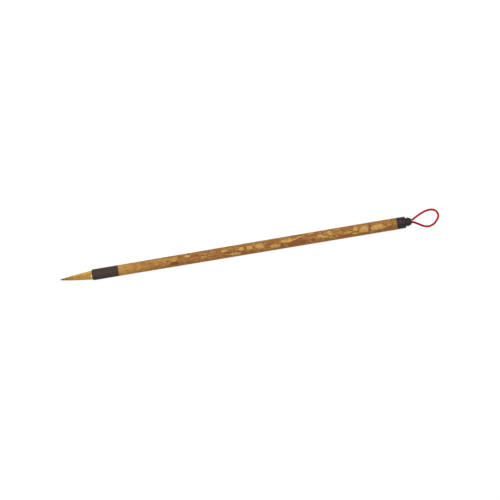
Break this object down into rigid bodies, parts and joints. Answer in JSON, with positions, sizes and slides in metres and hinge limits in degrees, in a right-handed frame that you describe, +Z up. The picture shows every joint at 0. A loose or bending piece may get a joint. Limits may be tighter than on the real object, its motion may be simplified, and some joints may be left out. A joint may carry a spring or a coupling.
{
  "type": "calligraphy brush",
  "caption": "Slim round calligraphy brush: pointed hair tuft in a dark ferrule, spotted bamboo handle, turned end cap and a cord loop to hang it by.",
  "frame": {"origin": "on the plane the brush rests on, under the middle of its length without the cord", "axes": "+X along the brush from the hair's point to the hanging loop, +Z up, +Y to one side"},
  "size_m": [0.2893, 0.0135, 0.0089],
  "materials": {
    "core_hair": "natural hair, brown at the point",
    "lining_hair": "natural hair, tan",
    "cover_hair": "natural hair, golden brown",
    "root_hair": "bound hair set in resin",
    "linen_thread": "undyed thread",
    "rosin": "singed and sealed with rosin",
    "clear_resin": "cast resin",
    "dark_horn": "turned and polished horn",
    "hide_glue": "dried glue film",
    "spotted_bamboo": "spotted bamboo, rubbed with wax",
    "black_horn": "turned and polished horn",
    "red_cord": "twisted and waxed cord"
  },
  "bodies": {
    "handle": {"bound_roots": "root_hair", "binding_thread": "linen_thread", "root_seal": "rosin", "tuft_glue": "clear_resin", "ferrule": "dark_horn", "ferrule_glue": "hide_glue", "bamboo_tube": "spotted_bamboo", "cap_glue": "hide_glue", "end_cap": "black_horn", "cord_tails": "red_cord", "cord_knot": "red_cord"},
    "tuft": {"tip_hairs": "core_hair", "belly_hairs": "lining_hair", "cover_hairs": "cover_hair"},
    "loop": {"hanging_loop": "red_cord"}
  },
  "joints": [
    {"name": "tuft_bend", "type": "hinge", "parent": "handle", "child": "tuft", "pos_m": [-0.11065, 0, 0.00445], "axis": [0, 0, 1], "range_deg": [-45, 45], "stiffness_Nm_per_rad": 0.004},
    {"name": "loop_swing", "type": "hinge", "parent": "handle", "child": "loop", "pos_m": [0.1345, 0, 0.00445], "axis": [0, -1, 0], "range_deg": [0, 90]}
  ]
}
